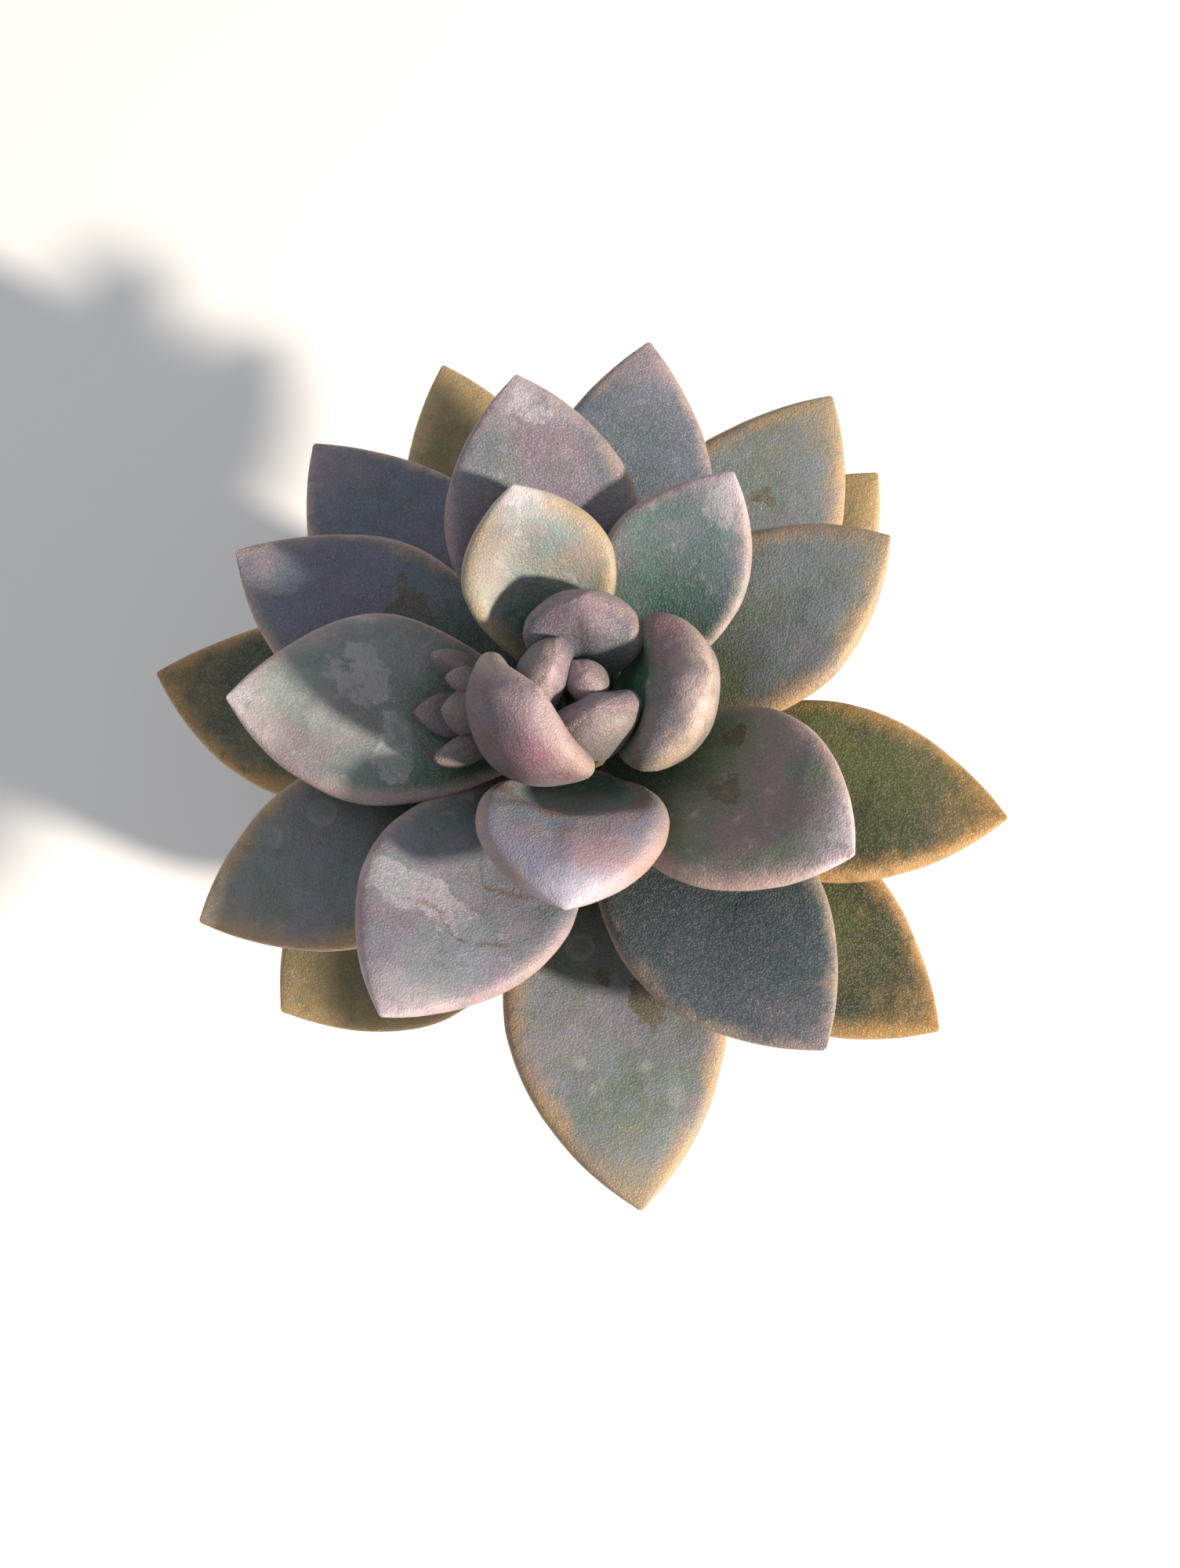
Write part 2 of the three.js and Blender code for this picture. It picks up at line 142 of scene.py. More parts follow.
class Sheet:  # one material and the nodes on it
    def __init__(self, name):
        self.material = bpy.data.materials.new(name)
        self.material.use_nodes = True
        self.tree = self.material.node_tree
        self.tree.nodes.clear()

    def node(self, kind, settings=None, values=(), output=0):
        made = self.tree.nodes.new(kind)
        for key, value in (settings or {}).items():
            setattr(made, key, value)
        pairs = values.items() if isinstance(values, dict) else enumerate(values)
        for key, value in pairs:
            socket = self.find(made.inputs, key)
            if isinstance(value, Signal):
                self.tree.links.new(value.socket, socket)
            elif value is not None:
                socket.default_value = value
        return Signal(self, self.find(made.outputs, output))

    def find(self, sockets, key):
        if isinstance(key, int):
            return sockets[key]
        return next(s for s in sockets if s.identifier == key or s.name == key)

    def blend(self, share, first, second):
        return self.node("ShaderNodeMix", {"data_type": "RGBA"},
                         {"Factor_Float": share, "A_Color": first, "B_Color": second}, "Result_Color")

    def attribute(self, name):
        return self.node("ShaderNodeAttribute", {"attribute_name": name}, (), "Fac")

    def place(self):
        return self.node("ShaderNodeTexCoord", None, (), "Object")

    def cloud(self, where, scale, detail, rough, seed, warp=0.0):
        values = {"Vector": where, "W": seed, "Scale": scale, "Detail": detail,
                  "Roughness": rough, "Distortion": warp}
        return self.node("ShaderNodeTexNoise", {"noise_dimensions": "4D"}, values)

    def cells(self, where, scale):  # the distance to the nearest of many scattered points
        return self.node("ShaderNodeTexVoronoi", None, {"Vector": where, "Scale": scale})

    def bump(self, height, depth, under=None):  # depth in metres
        return self.node("ShaderNodeBump", None,
                         {"Strength": 1.0, "Distance": depth, "Height": height, "Normal": under})

    def finish(self, values):
        shader = self.node("ShaderNodeBsdfPrincipled", None, values)
        end = self.tree.nodes.new("ShaderNodeOutputMaterial")
        self.tree.links.new(shader.socket, end.inputs["Surface"])
        return self.material


def tint(code):  # a screen colour such as "8c9a90" as linear light
    parts = [int(code[i:i + 2], 16) / 255 for i in (0, 2, 4)]
    return tuple(c / 12.92 if c <= 0.04045 else ((c + 0.055) / 1.055) ** 2.4 for c in parts) + (1.0,)


def mergedCopy(node):  # a CAD node's loose triangles, joined at their corners
    sheet = bmesh.new()
    sheet.from_mesh(frame["nodes"][node].data)
    bmesh.ops.remove_doubles(sheet, verts=sheet.verts, dist=2e-6)
    sheet.verts.ensure_lookup_table()
    return sheet


def isPole(vertex, sides):  # a pole's neighbours are joined to each other in one ring
    linked = {e.other_vert(vertex) for e in vertex.link_edges}
    joins = sum(1 for v in linked for e in v.link_edges if e.other_vert(v) in linked)
    return len(linked) == sides and joins == 2 * sides


def ringsOf(node, sides):
    # The two poles of a closed form, and its rings in order from one to the other. A ring starts at
    # any of its vertices and runs either way round, which can change from run to run.
    form = mergedCopy(node)
    first, last = [v for v in form.verts if isPole(v, sides)][:2]
    seen, rings, front = {first}, [], [first]
    while True:
        level = {e.other_vert(v) for v in front for e in v.link_edges} - seen
        if last in level:
            break
        seen |= level
        rings.append(level)
        front = list(level)
    points = []
    for level in rings:
        walk = [next(iter(level))]
        while len(walk) < len(level):
            near = [e.other_vert(walk[-1]) for e in walk[-1].link_edges]
            walk.append(next(v for v in near if v in level and v not in walk))
        points.append([list(v.co) for v in walk])
    ends = np.array([list(first.co), list(last.co)])
    form.free()
    return ends, np.array(points)


def unit(vectors):
    return vectors / np.maximum(np.linalg.norm(vectors, axis=-1, keepdims=True), 1e-12)


def throughPoints(before, start, end, after, share):
    # A centripetal spline from start to end, so that uneven spacing makes no ripples.
    gap = lambda a, b: np.maximum(np.linalg.norm(b - a, axis=-1, keepdims=True), 1e-9) ** 0.5
    t1 = gap(before, start)
    t2 = t1 + gap(start, end)
    t3 = t2 + gap(end, after)
    t = t1 + share * (t2 - t1)
    a1 = (t1 - t) / t1 * before + t / t1 * start
    a2 = (t2 - t) / (t2 - t1) * start + (t - t1) / (t2 - t1) * end
    a3 = (t3 - t) / (t3 - t2) * end + (t - t2) / (t3 - t2) * after
    b1 = (t2 - t) / t2 * a1 + t / t2 * a2
    b2 = (t3 - t) / (t3 - t1) * a2 + (t - t1) / (t3 - t1) * a3
    return (t2 - t) / (t2 - t1) * b1 + (t - t1) / (t2 - t1) * b2


def smoothRings(ends, rings, alongSteps, aroundSteps):
    # Lines run over both poles and back on the far side, so that the ends come out round.
    sides = rings.shape[1]
    lines = np.concatenate([np.repeat(ends[:1, None], sides, 1), rings,
                            np.repeat(ends[1:, None], sides, 1)])
    far = np.roll(lines, sides // 2, axis=1)
    padded = np.concatenate([far[1:2], lines, far[-2:-1]])
    stations = []
    for i in range(len(lines) - 1):
        for k in range(alongSteps):
            if i == 0 and k == 0:
                continue
            share = k / alongSteps
            stations.append(throughPoints(*padded[i:i + 4], share))
    coarse = np.array(stations)
    fine = np.empty((len(coarse), sides * aroundSteps, 3))
    for k in range(aroundSteps):
        fine[:, k::aroundSteps] = throughPoints(np.roll(coarse, 1, 1), coarse, np.roll(coarse, -1, 1),
                                                np.roll(coarse, -2, 1), k / aroundSteps)
    return fine


def gridNormals(ends, fine):
    padded = np.concatenate([np.repeat(ends[:1, None], fine.shape[1], 1), fine,
                             np.repeat(ends[1:, None], fine.shape[1], 1)])
    along = padded[2:] - padded[:-2]
    around = np.roll(fine, -1, 1) - np.roll(fine, 1, 1)
    normals = unit(np.cross(around, along))
    outwards = fine - fine.mean(1, keepdims=True)
    return normals if (normals * outwards).sum() > 0 else -normals


def makePiece(name, points, faces, attributes=None, smooth=True):
    mesh = bpy.data.meshes.new(name)
    mesh.from_pydata([tuple(p) for p in points], [], faces)
    mesh.polygons.foreach_set("use_smooth", [smooth] * len(mesh.polygons))
    for key, values in (attributes or {}).items():
        layer = mesh.attributes.new(key, "FLOAT", "POINT")
        layer.data.foreach_set("value", np.asarray(values, np.float32).ravel())
    mesh.update()
    piece = bpy.data.objects.new(name, mesh)
    bpy.context.scene.collection.objects.link(piece)
    return piece


def closedFaces(rows, columns):
    # Quads over a grid that closes on itself, and fans to a pole at each end: the last two points.
    faces = []
    firstPole, lastPole = rows * columns, rows * columns + 1
    for j in range(columns):
        k = (j + 1) % columns
        faces.append((firstPole, k, j))
        faces.append((lastPole, (rows - 1) * columns + j, (rows - 1) * columns + k))
        faces += [(i * columns + j, i * columns + k, (i + 1) * columns + k, (i + 1) * columns + j)
                  for i in range(rows - 1)]
    return faces


def faceOut(piece):
    # Turns every face outwards on a closed piece.
    form = bmesh.new()
    form.from_mesh(piece.data)
    bmesh.ops.recalc_face_normals(form, faces=form.faces)
    form.to_mesh(piece.data)
    form.free()


def fitIn(piece, material, slot, *nodes):
    piece.data.materials.clear()
    piece.data.materials.append(material)
    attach(piece, "root")
    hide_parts(*nodes)


def clouds(points, scale, seed, octaves=3):
    # Smooth noise about 0 at each point; scale is the size of a swell in metres.
    shift = Vector((seed * 7.31, seed * 3.17, seed * 5.77))
    flat = points.reshape(-1, 3) / scale
    values = [noise.fractal(Vector(p) + shift, 1.0, 2.0, octaves) for p in flat]
    return np.array(values).reshape(points.shape[:-1])


def ramp(values, start, end):  # a smooth rise from 0 to 1, or a fall where end is below start
    share = np.clip((values - start) / (end - start), 0, 1)
    return share * share * (3 - 2 * share)


# Points round each CAD ring of a stem, and new rings for each of them.
stemGrid = {
    "stem": {"sides": 16, "alongSteps": 8},
    "side_stalk": {"sides": 10, "alongSteps": 6},
}

leafShape = {
    "sides": 12,  # points round a CAD ring
    "alongSteps": 8,  # new rings for each CAD ring
    "aroundSteps": 6,
    "neckReach": 1.6 * mm,  # from the last ring to the neck's pole
    "neckTaper": 0.25,  # share of the length over which the filling comes in
    "rimRoll": 0.3 * mm,  # fullness of the rims
    "rimSpread": 0.14,  # of half the width
    "swell": 0.22 * mm,  # soft unevenness of the flesh
    "swellSize": 11 * mm,
    "dimple": 0.05 * mm,
    "dimpleSize": 2.2 * mm,
}

# What sets each leaf apart, by its number. Places on a leaf are (along, across): along runs from 0 at the
# neck to 1 at the tip, across from -1 to 1 between the rims. fill plumps the leaf all round, a hollow is
# (along, across, size along, size across, depth) and a ridge (from, to, height, width), in millimetres.
# A mark is (kind, along, across, size along, size across), on the upper face, or on both with bothFaces.
leafStories = {
    1: {"fill": 0.5},
    2: {"fill": 0.6},
    3: {"fill": 0.5, "ridges": [((0.3, 0.1), (0.8, 0.1), 0.5, 1.6)]},
    4: {"fill": 0.3, "ridges": [((0.2, -0.5), (0.85, -0.2), 0.6, 2.0)]},
    5: {"fill": 0.4, "palette": "rosy", "bothFaces": True,
        "marks": [("arc", 0.5, 0.1, 0.25, 0.7), ("arc", 0.62, -0.3, 0.12, 0.4),
                  ("rub", 0.5, 0.4, 0.03, 0.2)]},
    6: {"fill": 0.4, "palette": "glow", "hollows": [(0.38, 0.1, 0.34, 1.0, 1.2)],
        "ridges": [((0.72, -0.9), (0.66, 0.9), 0.5, 2.4), ((0.7, 0.0), (1.0, 0.0), 0.8, 2.0)],
        "marks": [("arc", 0.5, 0.0, 0.24, 1.1)]},
    7: {"palette": "cream", "hollows": [(0.35, 0.0, 0.5, 0.9, 0.5)],
        "marks": [("bloom", 0.97, 0.0, 0.05, 0.9), ("lime", 0.3, -0.9, 0.3, 0.3)]},
    8: {"palette": "lit", "hollows": [(0.38, 0.0, 0.25, 0.9, 1.1)],
        "ridges": [((0.6, -0.75), (0.6, 0.75), 0.3, 1.6), ((0.74, 0.0), (0.9, 0.0), 0.5, 3.2)],
        "marks": [("arc", 0.3, 0.0, 0.29, 0.9), ("arc", 0.24, 0.1, 0.36, 1.05)]},
    9: {"palette": "teal", "marks": [("bloom", 0.88, -0.1, 0.09, 0.5), ("lime", 0.3, -0.8, 0.25, 0.35)]},
    10: {"palette": "ash", "marks": [("bloom", 0.62, -0.4, 0.1, 0.3), ("arc", 0.35, 0.1, 0.1, 0.5),
                                     ("bloom", 0.52, 0.45, 0.06, 0.4), ("bloom", 0.97, 0, 0.04, 0.8)]},
    11: {"palette": "moss", "marks": [("rub", 0.52, 0.1, 0.06, 0.2), ("rub", 0.46, 0.6, 0.05, 0.1),
                                      ("bloom", 0.93, 0.4, 0.06, 0.4)]},
    12: {"palette": "dusk", "marks": [("bloom", 0.93, -0.2, 0.08, 0.6)]},
    13: {"palette": "lilac", "marks": [("bloom", 0.66, -0.35, 0.07, 0.7),
                                       ("arc", 0.40, 0.3, 0.12, 0.4), ("arc", 0.66, 0.1, 0.05, 0.5)]},
    14: {"palette": "sage", "marks": [("rub", 0.36, 0.35, 0.09, 0.28), ("lime", 0.4, -0.45, 0.12, 0.3)]},
    15: {"palette": "slateInShade", "marks": [("rub", 0.5, -0.3, 0.1, 0.2)]},
    16: {"palette": "steelInShade", "marks": [("rub", 0.3, 0.2, 0.05, 0.4), ("rub", 0.28, -0.6, 0.06, 0.2)]},
    17: {"palette": "slateInShade", "marks": [("lime", 0.45, 0.1, 0.14, 0.6), ("arc", 0.45, 0.0, 0.16, 0.7)]},
    18: {"palette": "sage", "marks": [("arc", 0.35, 0.2, 0.1, 0.4), ("arc", 0.42, 0.3, 0.08, 0.3),
                                      ("spots", 0.6, 0.0, 0.4, 0.9), ("lime", 0.3, 0.3, 0.2, 0.4)]},
    19: {"palette": "olive", "marks": [("lime", 0.5, 0.3, 0.4, 0.9)]},
    20: {"palette": "slateInShade"},
    21: {"palette": "sage", "marks": [("rub", 0.55, 0.3, 0.07, 0.25), ("rub", 0.5, -0.2, 0.04, 0.15),
                                      ("spots", 0.6, 0.0, 0.3, 0.9)]},
    22: {"palette": "sage", "marks": [("rub", 0.55, 0.1, 0.14, 0.5)]},
    23: {"palette": "olive", "marks": [("lime", 0.5, 0.2, 0.3, 0.8)]},
    24: {"palette": "olive", "marks": [("lime", 0.5, 0.1, 0.3, 0.6)]},
    25: {"palette": "straw"},
    26: {"palette": "straw"},
    27: {"palette": "straw"},
}

# The leaflets of the side shoot are alike.
shoot = {"story": {"palette": "shoot", "fill": 0.55}, "seed": 50, "fineness": 0.5}

# Screen colours. green is the share of the length that the green base reaches, rimWidth in millimetres,
# and under the strength of the plain tone below the leaf where it isn't the usual one. The base tone is
# the leaves' own green, made darker and longer as painted shade where the leaves crowd at the neck.
palettes = {
    "shoot": {"base": "435546", "blade": "6b5c63", "rim": "7b666c", "tip": "8a7075", "blush": "71525c",
              "vein": "575a55", "rimWidth": 0.8, "green": 0.2},
    "bud": {"base": "2c5746", "blade": "5f5663", "rim": "8d7676", "tip": "a2868e", "blush": "7c5b66",
            "vein": "4f5a58", "rimWidth": 1.4, "green": 0.4},
    "glow": {"base": "28664a", "blade": "71666e", "rim": "a48e78", "tip": "cbb6b2", "blush": "8a626d",
             "vein": "745c4c", "rimWidth": 2.2, "green": 0.64},
    "rosy": {"base": "3c5a4c", "blade": "675d6a", "rim": "a89284", "tip": "a58f98", "blush": "8a5566",
             "vein": "6a4f42", "rimWidth": 3.0, "green": 0.2, "under": 0.0},
    "dusk": {"base": "304f3d", "blade": "696b76", "rim": "9b8480", "tip": "a79ba4", "blush": "755f70",
             "vein": "566460", "rimWidth": 2.0, "green": 0.4},
    "cream": {"base": "284e4b", "blade": "8b8783", "rim": "b09873", "tip": "ccc6cc", "blush": "a18a78",
              "vein": "778a86", "rimWidth": 3.0, "green": 0.6},
    "lit": {"base": "225c48", "blade": "8a8798", "rim": "ae8a7a", "tip": "c6c2d4", "blush": "9a7470",
            "vein": "86849a", "rimWidth": 3.0, "green": 0.6},
    "teal": {"base": "28544a", "blade": "70797f", "rim": "b89a94", "tip": "c9b9c6", "blush": "80677c",
             "vein": "55756c", "rimWidth": 2.0, "green": 0.5},
    "ash": {"base": "304f3d", "blade": "8c9492", "rim": "ab8f8a", "tip": "cfc0c0", "blush": "84727a",
            "vein": "6a7a72", "rimWidth": 2.0, "green": 0.5},
    "moss": {"base": "2f4a35", "blade": "6f7864", "rim": "b08f88", "tip": "dccdd6", "blush": "8a6872",
             "vein": "55685a", "rimWidth": 2.4, "green": 0.4},
    "lilac": {"base": "304f3d", "blade": "82858f", "rim": "ab8a8a", "tip": "c6b8c0", "blush": "856c80",
              "vein": "647470", "rimWidth": 2.0, "green": 0.4},
    # Partly the leaves' own grey and partly painted cool shade: the blue and the depth of the blade stand
    # in for sky light on leaves in shade.
    "slateInShade": {"base": "36493a", "blade": "5c6674", "rim": "a88b76", "tip": "98878f", "blush": "6a5d74",
              "vein": "4c5b60", "rimWidth": 2.0, "green": 0.36},
    # Darker all through than the palette above: painted shade for a concave leaf whose blade lies in
    # shade.
    "steelInShade": {"base": "2b3e36", "blade": "35474f", "rim": "9a856f", "tip": "7d7277", "blush": "474a58",
              "vein": "384a4e", "rimWidth": 2.0, "green": 0.36},
    "sage": {"base": "3e4c36", "blade": "747c80", "rim": "b98f5c", "tip": "a08f72", "blush": "7e7482",
             "vein": "626e60", "rimWidth": 3.4, "green": 0.4},
    "olive": {"base": "232e10", "blade": "2a3014", "rim": "c08f4c", "tip": "9c7538", "blush": "5a5238",
              "vein": "3a4419", "rimWidth": 3.2, "green": 0.4},
    "straw": {"base": "434522", "blade": "836e46", "rim": "bb9a68", "tip": "ac9060", "blush": "7e6c4a",
              "vein": "65633a", "rimWidth": 3.8, "green": 0.34},
}

markTones = {"bloom": "cfcad2", "lime": "5a6324", "rub": "51441f", "arc": "65452f", "spots": "a3a7a2",
             "grain": "e6dccb", "under": "7d7468"}

# How fine each pattern on a leaf is: larger is finer.
leafGrain = {"broad": 55, "bent": 130, "drops": 150, "patchy": 210, "ragged": 480, "powder": 1500,
             "grains": 2300, "pores": 3400}

leafGloss = {
    "Subsurface Weight": 0.12, "Subsurface Radius": (1.0, 0.7, 0.5), "Subsurface Scale": 1.5 * mm,
    "Coat Weight": 0.06, "Coat Roughness": 0.35, "Sheen Weight": 0.12, "Sheen Roughness": 0.5,
}
underStrength = 0.45


def axisOf(node, sides):  # a stem's two ends, the lower one first
    ends, _ = ringsOf(node, sides)
    return ends if ends[0][2] < ends[1][2] else ends[::-1]


def leafFrame(node, axis):
    # Rings from neck to tip, each starting at one rim and running over the upper face to the other.
    ends, rings = ringsOf(node, leafShape["sides"])
    size = lambda ring: np.linalg.norm(ring - ring.mean(0), axis=1).max()
    if size(rings[0]) < size(rings[-1]):
        ends, rings = ends[::-1], rings[::-1]
    foot, spine = axis[0], unit(axis[1] - axis[0])
    atNeck = ends[0] - foot
    outwards = unit(atNeck - (atNeck @ spine) * spine)
    along = unit(ends[1] - ends[0])
    broad = rings[len(rings) // 2]
    spans = np.linalg.norm(broad[:, None] - broad[None], axis=-1)
    i, j = np.unravel_index(spans.argmax(), spans.shape)
    across = unit(broad[i] - broad[j])
    up = unit(np.cross(along, across))
    if up @ (spine - outwards) < 0:
        up, across = -up, -across
    ordered = []
    for ring in rings:
        start = int((ring @ across).argmax())
        ring = np.roll(ring, -start, axis=0)
        if (ring[1] - ring[-1]) @ up < 0:
            ring = np.roll(ring[::-1], 1, axis=0)
        ordered.append(ring)
    return ends, np.array(ordered)


def sculptLeaf(name, ends, rings, story, seed, fineness):
    shape = leafShape
    steps = [round(shape[key] * fineness) for key in ("alongSteps", "aroundSteps")]
    fine = smoothRings(ends, rings, *steps)
    rows, columns = fine.shape[:2]
    neck = fine[0].mean(0)
    ends = np.array([neck + unit(ends[0] - neck) * shape["neckReach"], ends[1]])
    turn = np.arange(columns) / columns * 2 * np.pi
    side = np.sign(np.cos(turn)) * np.abs(np.cos(turn)) ** 0.75
    over = np.sin(turn)[None].repeat(rows, 0)  # 1 in the middle of the upper face, -1 under the keel
    across = side[None].repeat(rows, 0)
    chord = np.concatenate([[ends[0]], fine.mean(1), [ends[1]]])
    lengths = np.concatenate([[0], np.cumsum(np.linalg.norm(np.diff(chord, axis=0), axis=1))])
    along = (lengths[1:-1] / lengths[-1])[:, None].repeat(columns, 1)
    width = np.linalg.norm(fine[:, 0] - fine[:, columns // 2], axis=1)
    normals = gridNormals(ends, fine)
    upper = ramp(over, -0.1, 0.5)
    lift = story.get("fill", 0) * mm * ramp(along, 0.0, shape["neckTaper"])
    for atAlong, atAcross, sizeAlong, sizeAcross, depth in story.get("hollows", []):
        near = 1 - ((along - atAlong) / sizeAlong) ** 2 - ((across - atAcross) / sizeAcross) ** 2
        lift -= depth * mm * upper * ramp(near, 0.0, 0.8)
    half = width[:, None] / 2
    for start, end, height, ridgeWidth in story.get("ridges", []):
        start, end = np.array(start), np.array(end)
        scale = np.stack([np.full_like(along, lengths[-1]), half.repeat(columns, 1)], -1)
        place = np.stack([along, across], -1) * scale
        first, run = start * scale, (end - start) * scale
        share = np.clip(((place - first) * run).sum(-1) / (run * run).sum(-1).clip(1e-12), 0, 1)
        away = np.linalg.norm(place - first - share[..., None] * run, axis=-1)
        lift += height * mm * upper * np.exp(-(away / (ridgeWidth * mm)) ** 2)
    share = np.minimum(1, width / width.max())[:, None]
    rolled = np.exp(-((1 - np.abs(across)) / shape["rimSpread"]) ** 2) * ramp(over, -0.5, 0.0)
    lift += share * shape["rimRoll"] * rolled
    lift += share * shape["swell"] * clouds(fine, shape["swellSize"], seed, 2)
    lift += share * shape["dimple"] * clouds(fine, shape["dimpleSize"], seed + 40, 2)
    moved = fine + normals * lift[..., None]
    ends[1] += (moved[-1] - fine[-1]).mean(0)
    edge = np.minimum(np.linalg.norm(moved - moved[:, :1], axis=-1),
                      np.linalg.norm(moved - moved[:, columns // 2:columns // 2 + 1], axis=-1))
    points = np.concatenate([moved.reshape(-1, 3), ends])
    attributes = {
        "along": np.append(along.ravel(), [0, 1]),
        "across": np.append(across.ravel(), [0, 0]),
        "over": np.append(over.ravel(), [0, 0]),
        "edge": np.append(edge.ravel() / mm, [0, 0]),
    }
    piece = makePiece(name, points, closedFaces(rows, columns), attributes)
    faceOut(piece)
    return piece


def markMask(along, across, bent, ragged, mark):
    # 1 inside a mark and 0 outside; the two noises bend and fray its outline.
    kind, atAlong, atAcross, sizeAlong, sizeAcross = mark
    x = (along + (bent - 0.5) * 0.16 - atAlong) / sizeAlong
    y = (across - (bent - 0.5) * 0.9 - atAcross) / sizeAcross
    distance = (x * x + y * y) ** 0.5
    if kind == "arc":
        return abs(distance + (ragged - 0.5) * 0.3 - 1.0).step(0.13, 0.02) * x.step(0.0, 0.4)
    if kind in ("lime", "spots"):
        return distance.step(1.3, 0.3)
    return (distance + (ragged - 0.5) * 1.8 + (bent - 0.5) * 1.4).step(1.02, 0.85)


def leafSkin(name, story, seed):
    tones = palettes[story.get("palette", "bud")]
    sheet, grain = Sheet(name), leafGrain
    where = sheet.place()
    along, across = sheet.attribute("along"), sheet.attribute("across")
    over, edge = sheet.attribute("over"), sheet.attribute("edge")
    broad = sheet.cloud(where, grain["broad"], 3, 0.5, seed)
    bent = sheet.cloud(where, grain["bent"], 2, 0.5, seed + 3, 0.3)
    patchy = sheet.cloud(where, grain["patchy"], 5, 0.62, seed + 2, 0.5)
    ragged = sheet.cloud(where, grain["ragged"], 5, 0.65, seed + 4, 0.3)
    powder = sheet.cloud(where, grain["powder"], 4, 0.7, seed + 8)
    grains = sheet.cells(where, grain["grains"])
    pores = sheet.cells(where, grain["pores"])

    reach = tones["green"]
    # The base toward the neck: the leaves' own green, darker and reaching further as painted shade between
    # crowded leaves.
    green = (along + (broad - 0.5) * 0.8 + abs(across) * 0.15).step(reach + 0.28, reach - 0.2)
    colour = sheet.blend(patchy.step(0.4, 0.62) * 0.8, tint(tones["blade"]), tint(tones["vein"]))
    blush = (broad * 0.6 + bent * 0.5).step(0.5, 0.68) * along.step(0.25, 0.7)
    colour = sheet.blend(blush * 0.7, colour, tint(tones["blush"]))
    colour = sheet.blend(green, colour, tint(tones["base"]))
    rimmed = (edge + (ragged - 0.5) * 3.0 + (bent - 0.5) * 5.0).step(tones["rimWidth"] + 0.8, 0.0)
    colour = sheet.blend(rimmed * 0.8, colour, tint(tones["rim"]))
    # The pale tip: the leaves' own farina, with the tip tones raised in part as a painted highlight on
    # sunlit tips.
    tipFarinaAndHighlight = (along + (patchy - 0.5) * 0.3).step(0.8, 1.0)
    colour = sheet.blend(tipFarinaAndHighlight * 0.65, colour, tint(tones["tip"]))
    below = over.step(-0.15, -0.5) * tones.get("under", underStrength)
    colour = sheet.blend(below, colour, tint(markTones["under"]))

    fleck = ragged.step(0.5, 0.66)
    colour = sheet.blend(fleck * 0.4, colour, tint(tones["vein"]))
    colour = sheet.blend(ragged.step(0.44, 0.3) * 0.25, colour, tint(tones["tip"]))
    crust = rimmed * 0.35 + tipFarinaAndHighlight * 0.15
    rough = 0.42 + powder * 0.2
    for mark in story.get("marks", []):
        kind = mark[0]
        mask = markMask(along, across, bent, ragged, mark)
        if not story.get("bothFaces"):
            mask = mask * over.step(-0.1, 0.1)
        if kind == "bloom":
            worn = mask * (powder * 0.4 + patchy * 0.6).step(0.36, 0.55)
            colour = sheet.blend(worn * 0.3, colour, tint(markTones[kind]))
            crust = crust.atLeast(worn * 0.6)
        elif kind == "spots":
            drops = sheet.cells(where, grain["drops"])
            ring = drops.step(0.34, 0.28) * (1 - drops.step(0.24, 0.16) * 0.5)  # fainter in its middle
            shown = mask * ring * bent.step(0.42, 0.5)
            colour = sheet.blend(shown * 0.5, colour, tint(markTones[kind]))
        elif kind == "rub":
            worn = mask * (ragged * 0.4 + powder * 0.6).step(0.32, 0.5)
            colour = sheet.blend(worn * (0.35 + bent * 0.8), colour, tint(markTones[kind]))
            rough = rough + worn * 0.15
        else:
            colour = sheet.blend(mask * patchy.step(0.3, 0.5) * 0.55, colour, tint(markTones[kind]))
    colour = sheet.blend(powder.step(0.4, 0.8) * 0.1, colour, tint(markTones["bloom"]))
    colour = sheet.blend(pores.step(0.45, 0.15) * 0.16, colour, tint(markTones["grain"]))
    dusty = (patchy * 0.5 + powder * 0.5 + crust * 0.6).step(0.52, 0.72)
    sparkle = grains.step(0.3, 0.18) * dusty
    colour = sheet.blend(sparkle * 0.5, colour, tint(markTones["grain"]))
    fine = sheet.bump(powder - pores * 0.5, 0.12 * mm)
    return sheet.finish({"Base Color": colour, "Roughness": rough,
                         "Normal": sheet.bump(sparkle, 0.08 * mm, fine), **leafGloss})


def growLeaves():
    axes = {node: axisOf(node, grid["sides"]) for node, grid in stemGrid.items()}
    for node in sorted(frame["nodes"]):
        if not node.startswith(("leaf_", "side_leaf_")):
            continue
        number = int(node.split("_")[-1])
        if node.startswith("side_leaf_"):
            axis, story = axes["side_stalk"], shoot["story"]
            seed, fineness = number + shoot["seed"], shoot["fineness"]
        else:
            axis, story, seed, fineness = axes["stem"], leafStories[number], number, 1.0
        ends, rings = leafFrame(node, axis)
        piece = sculptLeaf("skin_" + node, ends, rings, story, seed, fineness)
        fitIn(piece, leafSkin("skin_" + node, story, seed), slotOf[node], node)


growLeaves()
print("leaves grown")

barkLook = {
    "aroundSteps": 4,
    "ridge": 0.175 * mm,
    "ridgeSize": 2.5 * mm,
    "fibreGrain": 700, "scarGrain": 230,  # larger is finer
    # colour and green are darkened as painted shade, for the top of the stem that stands in shade among
    # the leaves.
    "colour": "746a50", "scar": "4f4535", "green": "5a6647",
}


def barkSkin(name):
    sheet = Sheet(name)
    where = sheet.place()
    fibres = sheet.cloud(where, barkLook["fibreGrain"], 4, 0.6, 3.0)
    scars = sheet.cells(where, barkLook["scarGrain"]).step(0.2, 0.5)
    colour = sheet.blend(fibres.step(0.35, 0.7), tint(barkLook["scar"]), tint(barkLook["colour"]))
    colour = sheet.blend(scars * 0.35, colour, tint(barkLook["green"]))
    return sheet.finish({"Base Color": colour, "Roughness": 0.65 + fibres * 0.25,
                         "Normal": sheet.bump(fibres, 0.3 * mm)})


